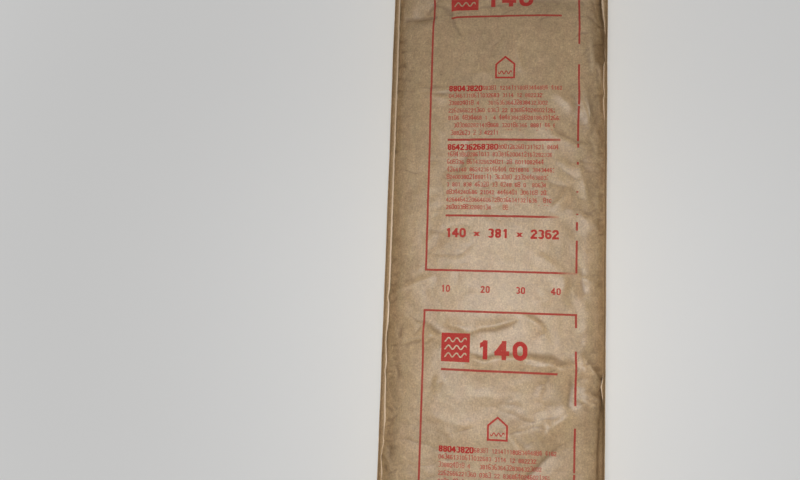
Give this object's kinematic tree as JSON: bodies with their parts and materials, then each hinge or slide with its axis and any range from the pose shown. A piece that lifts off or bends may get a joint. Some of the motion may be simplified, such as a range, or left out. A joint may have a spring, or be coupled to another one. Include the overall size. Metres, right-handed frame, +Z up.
{
  "type": "kraft-faced insulation batt",
  "caption": "Long soft glass wool batt with a bulged kraft paper face and an upturned paper stapling tab along each long edge, for filling the gap between wall studs.",
  "frame": {"origin": "middle of the batt's back, on the level surface that it lies on", "axes": "+Z up from the back to the paper face, +Y along the batt's length, +X across its width"},
  "size_m": [0.381, 2.362, 0.1397],
  "materials": {
    "glass_wool": "loose glass fibres in flat layers, pale yellow, matt and slightly fuzzy",
    "kraft_paper": "creased unbleached kraft paper, matt with a faint sheen, printed with thin red rules"
  },
  "bodies": {
    "root": {"glass_wool": "glass_wool", "kraft_facing": "kraft_paper"}
  },
  "joints": []
}
